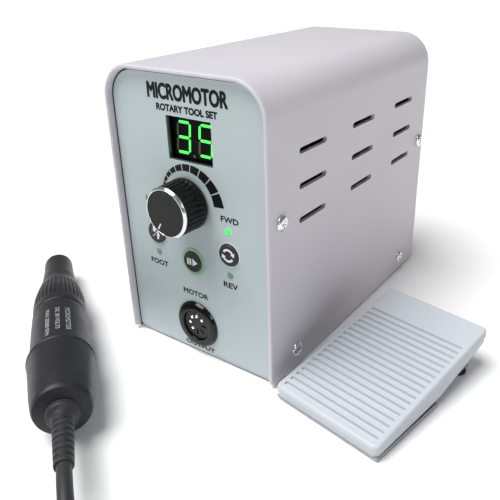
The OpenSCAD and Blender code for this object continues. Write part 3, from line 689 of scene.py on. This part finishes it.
# %% [markdown]
# ## Buttons, lamps and display
# Three push caps stand a millimetre off the film, each with a face slightly sunk in its rim and a
# printed sign. Small round lamps stand in the film as low domes, and the number window is a deep
# dark well with seven-bar digits at its bottom. Every bar is a hexagon, and only some are lit.

# %% Push caps
cap_face = 0.85  # how far it stands off the film


def cap(control):
    """A round push cap: a flat face sunk inside a soft rim, and the cap's side down to the wall.
    Returns the x and z of its middle."""
    node, at = control + "_button", centre_of(control + "_button")
    r = (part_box(node)[1][0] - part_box(node)[0][0]) * METRE / 2 - 1.2
    profile = softened([[0, -3.5], [r, -3.5], [r, 0.75], [r - 0.3, 1.0], [r - 0.75, 1.0],
                        [r - 0.95, cap_face], [0, cap_face]], 0.22, 5, closed=False)
    front_piece(control + "_cap_dished", turned(profile, 96, closed=False), at, "button_black",
                (node,), control + "_cap", sharp=40)
    return at


def sign(control, shape, at):
    """A white sign printed on a cap's face."""
    front_piece(control + "_sign", shape, at, "button_black", body=control + "_cap", proud=cap_face,
                look="ink_white")


start_at, direction_at, mode_at = (cap(control) for control in ("start", "direction", "mode"))
print("caps at", [round(v, 1) for v in (*start_at, *direction_at, *mode_at)])

# %% Signs on the caps
signs = together(*(slab(shape) for shape in (
    [[-3.0, -1.6], [-2.1, -1.6], [-2.1, 1.6], [-3.0, 1.6]],
    [[-1.5, -1.6], [-0.6, -1.6], [-0.6, 1.6], [-1.5, 1.6]],
    [[0.2, -2.0], [3.2, 0.0], [0.2, 2.0]])))
sign("start", signs, start_at)
arrow = [[4.35, 0], [1.55, 0], [2.95, -1.9]]
half_sign = [slab(arc_band(2.35, (3.45, 3.45), 28, 150)), slab(spun(arrow, 28))]
points, faces = together(*half_sign, *((half * (-1, -1, 1), faces) for half, faces in half_sign))
sign("direction", (points * (0.92, 0.92, 1), faces), direction_at)
white_ring = turned(softened([[5.45, -0.02], [6.0, -0.02], [6.0, 0.05], [5.45, 0.05]], 0.02, 3), 96)
front_piece("direction_outline", white_ring, direction_at, "panel_film", look="ink_white", sharp=20)
print("signs on two caps")

# %% Hand and foot sign on the mode cap
def blob(cx, cz, rx, rz, lean_deg=0.0, count=28):
    """An ellipse's outline, leaning by an angle."""
    return spun(circle(1, count) * (rx, rz), lean_deg) + (cx, cz)


hand = [blob(-1.35, 1.35, 1.0, 1.15), blob(-0.2, 1.9, 0.3, 0.95, -28), blob(-1.9, 2.9, 0.26, 0.85, 12),
        blob(-1.3, 3.1, 0.26, 0.9, 0), blob(-0.7, 2.9, 0.26, 0.8, -10)]
foot = [blob(1.35, -1.2, 0.95, 1.35, -12), blob(1.0, -3.0, 0.7, 0.6, 0), blob(0.75, 0.35, 0.3, 0.36),
        blob(1.35, 0.5, 0.24, 0.3), blob(1.85, 0.4, 0.22, 0.27)]
bar = softened([[-2.75, -2.55], [-2.55, -2.75], [2.75, 2.55], [2.55, 2.75]], 0.05)
# Marks that overlap get slightly different heights, so that their faces don't fight.
marks = together(*(slab(shape * 0.88, 0.03 + 0.004 * k) for k, shape in enumerate(hand + foot + [bar])))
sign("mode", marks, mode_at)
print("mode sign has", len(hand) + len(foot) + 1, "marks")

# %% Lamp lenses
def lens(x, z, depth):
    """A lamp's lens: a low dome on a round barrel that runs back to the board."""
    outline = [[0, -depth], [1.5, -depth], [1.5, 0.05], [1.0, 0.32], [0, 0.4]]
    outline = softened(outline, 0.3, closed=False)
    return put(turned(outline, 40, closed=False), on_panel, x, z)


lens_depth = box_of("led_forward")[1][1] - panel_y
(lamp_x, lamp_z), status_z = centre_of("led_forward"), centre_of("status_leds")[1]
lower_z = 2 * status_z - lamp_z
left_x = mode_at[0]
idle = [lens(x, z, lens_depth) for x, z in ((lamp_x, lower_z), (left_x, lamp_z), (left_x, lower_z))]
piece("lens_forward", lens(lamp_x, lamp_z, lens_depth), "control_box", "lamp_lit", ("led_forward",))
piece("lenses_idle", together(*idle), "control_box", "lamp_idle", ("status_leds",))
print("four lamps, columns at", round(lamp_x, 1), round(left_x, 1))

# %% Number window
module_low, module_high = box_of("display_module")
window = [(module_low[k] + module_high[k]) / 2 for k in (0, 2)]
well, block_top = 3.3, 2.2  # how far the digits' face and the block's rim lie behind the film


def bar_outline(length, width):
    """A digit's bar: a long hexagon with pointed ends."""
    h, w = length / 2, width / 2
    return np.array([[-h, 0], [-h + w, -w], [h - w, -w], [h, 0], [h - w, w], [-h + w, w]])


def digit(cx, lit, slant=5):
    """One seven-bar digit. Bars are top, middle, bottom, then left and right above and below; every
    point leans by the slant. Returns the lit bars and the dark ones."""
    quarter = np.array([[0, 1], [-1, 0]])
    flat, tall = bar_outline(6.0, 1.2), bar_outline(6.0, 1.1) @ quarter
    bars = [flat + (0, 6.6), flat, flat - (0, 6.6),
            *(tall + (side * 3.4, level * 3.3) for level in (1, -1) for side in (-1, 1))]
    lean_by = math.tan(math.radians(slant))
    bars = [np.column_stack([bar[:, 0] + bar[:, 1] * lean_by + cx, bar[:, 1]]) for bar in bars]
    return ([bar for k, bar in enumerate(bars) if k in lit],
            [bar for k, bar in enumerate(bars) if k not in lit])


three_lit, three_dark = digit(-5.9, (0, 1, 2, 4, 6))
five_lit, five_dark = digit(6.3, (0, 1, 2, 3, 6))
dots = [circle(0.75, 20) + (x, -7.6) for x in (-0.6, 11.1)]
lit = together(*(slab(bar, 0.05) for bar in three_lit + five_lit))
dark = together(*(slab(bar, 0.05) for bar in three_dark + five_dark + dots))
front_piece("digits_lit", lit, window, "lit_segments", ("display_digits",), proud=-well)
front_piece("digits_dark", dark, window, "display_black", proud=-well, look="segment_off")
block = softened([[-12.5, -9.5], [12.5, -9.5], [12.5, 9.5], [-12.5, 9.5]], 0.4)
mouth = block * (0.955, 0.945)
rims = ((block, module_low[1] - module_high[1] - block_top), (block, -block_top), (mouth, -block_top),
        (mouth, -well))
loops = np.vstack([np.column_stack([rim, np.full(len(block), w)]) for rim, w in rims])
front_piece("display_block", (loops, capped(4, len(block))), window, "display_black",
            ("display_module",), sharp=30)
print("window centre", [round(v, 1) for v in window], "lit bars", len(three_lit + five_lit))

# %% [markdown]
# ## The output socket
# The handpiece's plug goes into a round socket low on the panel. Its flange is glossy moulded
# plastic with a soft shoulder, and a narrow groove parts it from the contact block inside. The
# contact block is exact in the CAD model, so only the flange and the contacts' round tips are new.

# %% Socket flange
socket = centre_of("motor_socket")
flange = softened([[7.45, -13.4], [9.48, -13.4], [9.48, 0.0], [12.0, 0.0], [12.0, 0.4], [11.0, 1.75],
                   [8.2, 1.9], [7.75, 1.65], [7.7, 0.3], [7.45, 0.3]], 0.35, 6)
front_piece("socket_flange", turned(flange, 144), socket, "socket_gloss", ("motor_socket",), sharp=50)
tip = softened([[0, 0.35], [0.4, 0.45], [0.68, 0.95], [0.95, 0.6], [0.95, -8.5]], 0.12, 5, closed=False)
points, faces = turned(stations(tip, 0.5), 32, closed=False)
contact_circle, contact_turns = 4.3, np.radians(np.arange(45, 226, 45))
contacts = together(*((points + (contact_circle * math.cos(a), contact_circle * math.sin(a), 0), faces)
                      for a in contact_turns))
front_piece("contact_tips", contacts, socket, "contact_plated", ("socket_contacts",))
print("socket at", [round(v, 1) for v in socket])

# %% [markdown]
# ## The handpiece
# The handpiece is a stack of turned shells on one axis: a rear sleeve with a thin raised rim, the
# motor housing, the fluted ring that twists to free the tool, the slim front sleeve, and a bright
# nose that holds the collet. Each shell is a profile turned round that axis. The axis itself comes
# from the shank's mount in the record, so the pen lies exactly where the CAD model has it.

# %% The handpiece's own axes
shank = next(mount for mount in record["mounts"] if mount["name"] == "tool_shank")
shank_station = 149  # where the mount lies, from the handpiece's rear end
ahead = np.array(shank["axis"]) / np.linalg.norm(shank["axis"])
left = np.cross((0, 0, 1), ahead)
left /= np.linalg.norm(left)
pen_axes = np.array([np.cross(left, ahead), left, ahead])
pen_tail = np.array(shank["pos_m"]) * METRE - shank_station * ahead


def on_pen(points):
    """From the handpiece's frame, with Z from its rear end to its tip and X down, to the table."""
    return points @ pen_axes + pen_tail


def pen_piece(name, profile, body, slot, stands_for, around=144, relief=None, closed=True, sharp=40):
    """A turned shell of the handpiece."""
    return piece(name, put(turned(profile, around, relief, closed), on_pen), body, slot, stands_for, sharp)


def shell_profile(corners, reach, steps, step):
    """A softened ring profile with more points along it, whose first corner stays sharp."""
    return stations(softened(corners + corners[:1], reach, steps, closed=False), step)[:-1]


print("handpiece tail at", pen_tail.round(1), "pointing", ahead.round(3))

# %% Rear sleeve and motor housing
rear_outline = softened([
    [4.6, 0], [6.7, 0], [11.3, 0.9], [12.0, 2.8], [12.8, 10], [13.4, 20], [13.9, 28], [14.25, 33.2],
    [14.6, 33.9], [14.6, 34.25], [14.35, 34.5], [11.8, 34.5], [11.8, 3], [4.6, 2.4]], 0.5, 6)
pen_piece("rear_sleeve_turned", rear_outline, "handpiece", "pen_black", ("rear_sleeve",))
barrel_stations = np.array([34.5, 42, 60, 71.6, 72.3])
barrel_radii = np.array([13.7, 13.3, 13.1, 12.9, 12.5])
bore = [[8.5, 72.3], [8.5, 108.55], [6.15, 108.55], [6.15, 68], [10.6, 66], [10.6, 30], [11.75, 30]]
housing_outline = np.vstack([[[11.75, 34.5]], np.column_stack([barrel_radii, barrel_stations]), bore])
housing_outline = stations(softened(housing_outline, 0.4, 6), 0.4, closed=True)


def housing_line(r, s, a):
    """One fine turned line near the housing's front end."""
    return 0.2 * (r > 12) * eased(1 - np.abs(s - 67.2) / 0.4) + 0 * a


pen_piece("motor_housing_turned", housing_outline, "handpiece", "pen_black", ("motor_housing",),
          relief=housing_line)
print("two shells, widest radius", rear_outline[:, 0].max().round(2))

# %% Fluted chuck ring
def grip_flutes(r, s, a):
    """Thirty-six finger grooves: a rounded wave round the ring that fades in behind the smooth band
    and fades out before the smooth end."""
    wave = 1 - np.abs(np.sin(18 * a)) ** 0.8
    return 0.55 * wave * (r > 8.7) * eased((s - 78.0) / 1.8) * eased((101.2 - s) / 2.4)


grip_profile = shell_profile([
    [8.56, 73.5], [12.2, 73.5], [12.6, 74.2], [12.7, 76], [12.7, 84], [12.55, 88], [12.15, 92],
    [11.3, 98], [10.1, 104], [9.5, 107.9], [9.2, 108.3], [8.56, 108.3]], 0.35, 5, 0.6)
pen_piece("chuck_ring_fluted", grip_profile, "chuck_ring", "pen_black", ("grip_ring",), around=432,
          relief=grip_flutes, sharp=50)
print("chuck ring:", len(grip_profile), "x 432 points")

# %% Front sleeve, nose and collet
def sleeve_rings(r, s, a):
    """Three fine turned lines round the front sleeve."""
    return 0.14 * (r > 7) * sum(eased(1 - np.abs(s - c) / 0.35) for c in (111.6, 112.8, 136.4)) + 0 * a


front_profile = shell_profile([
    [6.15, 108.7], [8.9, 108.7], [9.2, 109.2], [8.9, 111.5], [8.6, 115.4], [8.05, 122.5], [7.75, 130],
    [7.6, 137.2], [7.3, 138.5], [5.15, 140.5], [4.92, 140.5], [4.92, 137.4], [6.15, 137.4]], 0.4, 6, 0.3)
pen_piece("front_sleeve_turned", front_profile, "handpiece", "pen_black", ("front_sleeve",), around=96,
          relief=sleeve_rings, sharp=50)
nose_outline = softened([[2.76, 136.3], [4.86, 136.3], [4.86, 140.5], [4.7, 140.75], [3.7, 141.3],
                         [3.15, 142.0], [3.0, 142.9], [2.76, 142.9]], 0.25, 6)
pen_piece("nose_turned", nose_outline, "handpiece", "steel_bright", ("nose_cap",), around=96)


def collet_slits(r, s, a):
    """Three narrow slits that let the collet's jaws close, cut from its front end."""
    return 0.75 * eased((0.14 - np.abs(np.sin(1.5 * a))) / 0.08) * (r > 1.6) * eased((s - 138) / 2)


collet_outline = softened([[0, 111], [2.46, 111], [2.46, 143.0], [2.1, 143.25], [2.1, 145.6], [1.85, 145.9],
                           [1.12, 145.9], [1.12, 120.2], [0, 120.2]], 0.15, 4, closed=False)
pen_piece("collet_slit", stations(collet_outline, 0.5), "collet", "steel_bright", ("collet",),
          relief=collet_slits, closed=False)
print("front sleeve, nose and collet done")

# %% Ribbed strain relief
def relief_ribs(r, s, a):
    """Seven grooves, every other one turned a quarter round; each leaves two bridges that hold the
    rings together, as on a real cord sleeve."""
    index = np.floor((s + 28.2) / 3.2)
    phase = (s + 28.2) - 3.2 * index
    groove = eased(1 - np.abs(phase - 1.25) / 0.8) * (s > -28.1) * (s < -6.0)
    bridge = eased((np.abs(np.sin(a + (index % 2) * np.pi / 2)) - 0.22) / 0.12)
    return 1.1 * groove * bridge * (r > 2)


relief_outline = softened([
    [0, -30], [3.3, -30], [3.6, -29.6], [4.2, -5.6], [4.4, -4], [5.2, -3.4], [6.3, -2.7], [6.5, -2.2],
    [6.5, -0.2], [6.2, 0], [4.45, 0], [4.45, 5.8], [0, 5.8]], 0.3, 5, closed=False)
pen_piece("strain_relief_ribbed", stations(relief_outline, 0.25), "handpiece", "cord_rubber",
          ("strain_relief",), around=96, relief=relief_ribs, closed=False, sharp=50)
print("strain relief from -30 mm to the housing")

# %% Print on the barrel
def round_barrel(words, front, rear, across, height):
    """Words wrapped on the barrel: they read from the nose towards the rear, and their height turns
    into an angle round the axis. across is the distance from the top line, to the right."""
    points, faces = lettering(words, front - rear, height, 0.06)
    station = (front + rear) / 2 - points[:, 0]
    shell = np.interp(station, barrel_stations, barrel_radii) - 0.03 + points[:, 2]
    turn = np.pi + (across + points[:, 1]) / 13.2
    return on_pen(np.stack([shell * np.cos(turn), shell * np.sin(turn), station], -1)), faces


print_lines = together(round_barrel("MICROMOTOR", 62, 41, 5.2, 2.3),
                       round_barrel("DC 30 VOLTS", 62, 42, 0.6, 1.9),
                       round_barrel("MAX 35000 RPM", 62, 38.5, -4.0, 1.9))
piece("barrel_print", print_lines, "handpiece", "pen_black", look="ink_grey", sharp=20)
print("barrel print:", len(print_lines[1]), "faces")

# %% [markdown]
# ## The foot pedal
# The pedal's top is a moulded lid with a ribbed tread. Its shape is a height over a rounded
# rectangle: a slope, less a groove wherever a point lies near one of eighteen lines. The lid's edge
# rolls over into a skirt, and an inner wall and ceiling make it a real hollow moulding. The grid of
# the tread and the grid of the ceiling are joined by loops of points that run round the border.

# %% The pedal's own axes
hinge = next(joint for joint in record["behaviour"]["joints"] if joint["name"] == "treadle_press")
pedal_x = -np.array(hinge["axis"]) / np.linalg.norm(hinge["axis"])
pedal_y = np.cross((0, 0, 1), pedal_x)
pedal_axes = np.array([pedal_x, pedal_y, [0, 0, 1]])
hinge_y, hinge_z = -34.0, hinge["pos_m"][2] * METRE
pedal_at = np.array([hinge["pos_m"][0], hinge["pos_m"][1], 0]) * METRE - hinge_y * pedal_y


def on_pedal(points):
    """From the pedal's frame, with Y from its hinge end to its high end, to the table."""
    return points @ pedal_axes + pedal_at


half_w, half_l, corner_r, lid_wall = 27.0, 42.0, 3.0, 1.9


def tread_z(y):
    """The tread's height: a straight slope up from the hinge end."""
    return 7.5 + (y + half_l) * 13 / 84


def hem_z(y):
    """The height of the skirt's lower edge."""
    return np.interp(y, [-half_l, 4, half_l], [2.4, 4.3, 14.2])


print("pedal stands at", pedal_at.round(1))

# %% A lid made of two grids and the loops between them
def rounded(u, v, inset):
    """Moves a square grid onto a rounded rectangle: beyond the corner's centre, the larger of the two
    distances becomes the distance from that centre, which bends square rings into round ones."""
    k = (corner_r - inset) / corner_r
    dx = np.maximum(np.abs(u) - half_w + corner_r, 0) * k
    dy = np.maximum(np.abs(v) - half_l + corner_r, 0) * k
    shrink = np.where((dx > 0) & (dy > 0), np.maximum(dx, dy) / np.maximum(np.hypot(dx, dy), 1e-9), 1)
    return (np.sign(u) * (np.minimum(np.abs(u), half_w - corner_r) + dx * shrink),
            np.sign(v) * (np.minimum(np.abs(v), half_l - corner_r) + dy * shrink))


def border(rows, cols):
    """The numbers of a grid's edge points, in order round it."""
    n = np.arange(rows * cols).reshape(rows, cols)
    return np.concatenate([n[0, :-1], n[:-1, -1], n[-1, :0:-1], n[:0:-1, 0]])


def lidded(top, under, loops):
    """Two grids of the same size joined by loops round their borders, as one closed shape."""
    rows, cols = top.shape[:2]
    edge_numbers, count = border(rows, cols), rows * cols
    between = [2 * count + k * len(edge_numbers) + np.arange(len(edge_numbers)) for k in range(len(loops))]
    numbers = [edge_numbers, *between, edge_numbers + count]
    joins = [np.stack([a, np.roll(a, -1), np.roll(b, -1), b], -1)
             for a, b in zip(numbers[:-1], numbers[1:])]
    faces = [*quads(rows, cols, round_cols=False), *quads(rows, cols, round_cols=False, start=count),
             *np.vstack(joins).tolist()]
    return np.vstack([top.reshape(-1, 3), under.reshape(-1, 3), np.vstack(loops)]), faces


groove_depth, groove_end = 1.25, 24.7
grooves = -38 + 3.6 * np.arange(18)
groove_lines = np.array([0.64, 0.72, 0.8, 0.88, 0.95])  # grid lines down a groove's side
side_lines = np.concatenate([np.linspace(24, 27, 8), [23.4, 23.7, 24.3, 24.6, 24.85]])
u_lines = np.concatenate([side_lines, -side_lines, np.linspace(-22, 22, 12)])
v_lines = np.concatenate([(grooves[:, None] + [*-groove_lines, 0, *groove_lines]).ravel(),
                          np.linspace(-42, -39.2, 8), np.linspace(26, 39, 7), np.linspace(39.4, 42, 8)])
u, v = np.meshgrid(np.unique(np.round(u_lines, 4)), np.unique(np.round(v_lines, 4)))
nearest = np.abs(v[..., None] - grooves).min(-1)
tread_groove = groove_depth * eased((0.95 - nearest) / 0.31) * eased((groove_end - np.abs(u)) / 0.9)
x, y = rounded(u, v, 1.2)
top_grid = np.stack([x, y, tread_z(y) - tread_groove], -1)
x, y = rounded(u, v, lid_wall)
under_grid = np.stack([x, y, tread_z(y) - lid_wall], -1)
print("tread grid", top_grid.shape[:2])

# %% Skirt loops and the lid
def skirt_loop(inset, height):
    """One loop round the border: inset from the outline, at a height that depends on y."""
    edge_u, edge_v = u.ravel()[border(*u.shape)], v.ravel()[border(*u.shape)]
    x, y = rounded(edge_u, edge_v, inset)
    return np.stack([x, y, height(y)], -1)


roll = [skirt_loop(1.2 * (1 - math.sin(t)), lambda y, t=t: tread_z(y) - 1.2 * (1 - math.cos(t)))
        for t in np.radians([18, 36, 54, 72, 90])]
lip = lambda y: tread_z(y) - 3.1
skirt = [skirt_loop(inset, height) for inset, height in (
    (0, lip), (0.08, lambda y: lip(y) - 0.15), (0.45, lambda y: lip(y) - 0.3),
    (0.45, lambda y: hem_z(y) + 0.25), (0.55, hem_z), (1.5, hem_z), (1.6, lambda y: hem_z(y) + 0.2),
    (1.6, lambda y: tread_z(y) - 2.2))]
lid = lidded(top_grid, under_grid, roll + skirt)


def ear(x):
    """A hinge ear: a ring round the pin and a short post up to the lid."""
    points, faces = turned(softened([[1.32, -2], [2.2, -2], [2.2, 2], [1.32, 2]], 0.1, 3), 40)
    eye = np.stack([x + points[:, 2], hinge_y + points[:, 0], hinge_z + points[:, 1]], -1)
    post = np.array([[-1.5, 1.7], [1.5, 1.7], [1.5, 3.2], [-1.5, 3.2]]) + (hinge_y, hinge_z - 0.5)
    return (eye, faces), prism(post, x - 2, x + 2)


moulding = together(lid, *ear(-21), *ear(21))
treadle = piece("treadle_ribbed", put(moulding, on_pedal), "treadle", "pedal_grey",
                ("pedal_treadle",), sharp=35)
print("treadle:", len(treadle.data.polygons), "faces")

# %% [markdown]
# ## The back of the box
# Few people see the back of such a box, but a reader will turn it round. The mains inlet, the
# switch, the fuse and the pedal's jack are exact CAD nodes with their own finishes. Small generic
# words in the same black ink say what each one is for.

# %% Words on the rear wall
back_y = box_of("chassis")[1][1]


def on_back(points, x, z):
    """From drawing axes to the rear wall: right is -X, up is +Z and out is +Y."""
    return np.stack([x - points[:, 0], back_y + points[:, 2], z + points[:, 1]], -1)


rear_words = [put(lettering(words, width, 2.4, 0.1), on_back, x, z) for words, x, z, width in (
    ("AC IN", -18, 44.6, 10), ("FOOT PEDAL", -18, 68, 18), ("FUSE", 19, 71, 8), ("POWER", 19, 42.6, 11))]
piece("rear_words", together(*rear_words), "control_box", "plated_sheet", look="ink_black", sharp=20)
print("rear wall at y =", round(back_y, 1))

# %% [markdown]
# ## Floor and light
# The studio is as plain as it can be: a pale floor that runs past the picture, a dim white sky that
# the camera alone sees as bright, and one wide soft light from high in front. Two softboxes are
# there only to be seen in bright metal and glossy plastic, since a chrome ring is nothing but what
# it mirrors.

# %% Floor
floor_line = np.linspace(-9, 9, 7)  # in metres
gx, gy = np.meshgrid(floor_line, floor_line)
floor_points = np.stack([gx, gy, np.full_like(gx, -0.0002)], -1).reshape(-1, 3)
floor_mesh = bpy.data.meshes.new("studio_floor")
floor_mesh.from_pydata(floor_points.tolist(), [], quads(7, 7, round_cols=False))
floor = bpy.data.objects.new("studio_floor", floor_mesh)
scene.collection.objects.link(floor)
paper = finish("floor_paper", (250, 250, 250), 0.85, (0.004, 400), grain=None, glow=0.05)
floor_mesh.materials.append(paper)
print("floor", floor.dimensions)

# %% Sky, key light and softboxes
world = bpy.data.worlds.new("studio_sky")
scene.world = world
world.use_nodes = True
sky_nodes, sky_links = world.node_tree.nodes, world.node_tree.links
sky, backdrop = sky_nodes["Background"], sky_nodes.new("ShaderNodeBackground")
sky.inputs["Color"].default_value, sky.inputs["Strength"].default_value = (1, 1, 1, 1), 0.22
backdrop.inputs["Color"].default_value = (1, 1, 1, 1)  # what the camera sees past the floor
either, ray = sky_nodes.new("ShaderNodeMixShader"), sky_nodes.new("ShaderNodeLightPath")
for source, target in ((ray.outputs["Is Camera Ray"], either.inputs[0]), (sky.outputs[0], either.inputs[1]),
                       (backdrop.outputs[0], either.inputs[2]),
                       (either.outputs[0], sky_nodes["World Output"].inputs[0])):
    sky_links.new(source, target)


def lamp(name, kind, strength, at, size, toward=(0, 0, 0.06)):
    """A lamp at a place in metres, turned to face another place."""
    data = bpy.data.lights.new(name, kind)
    data.energy = strength
    if kind == "SUN":
        data.angle = size
    else:
        data.shape, data.size, data.size_y = "RECTANGLE", *size
    obj = bpy.data.objects.new(name, data)
    scene.collection.objects.link(obj)
    obj.location = at
    obj.rotation_euler = (Vector(toward) - Vector(at)).to_track_quat("-Z", "Y").to_euler()
    return obj


lamp("key_light", "SUN", 3.4, (-0.25, -0.33, 1.05), math.radians(40))
for softbox in (lamp("front_softbox", "AREA", 2.6, (-0.35, -0.8, 0.75), (0.34, 0.07)),
                lamp("side_softbox", "AREA", 1.6, (0.7, -0.55, 0.5), (0.07, 0.3))):
    softbox.visible_diffuse = False
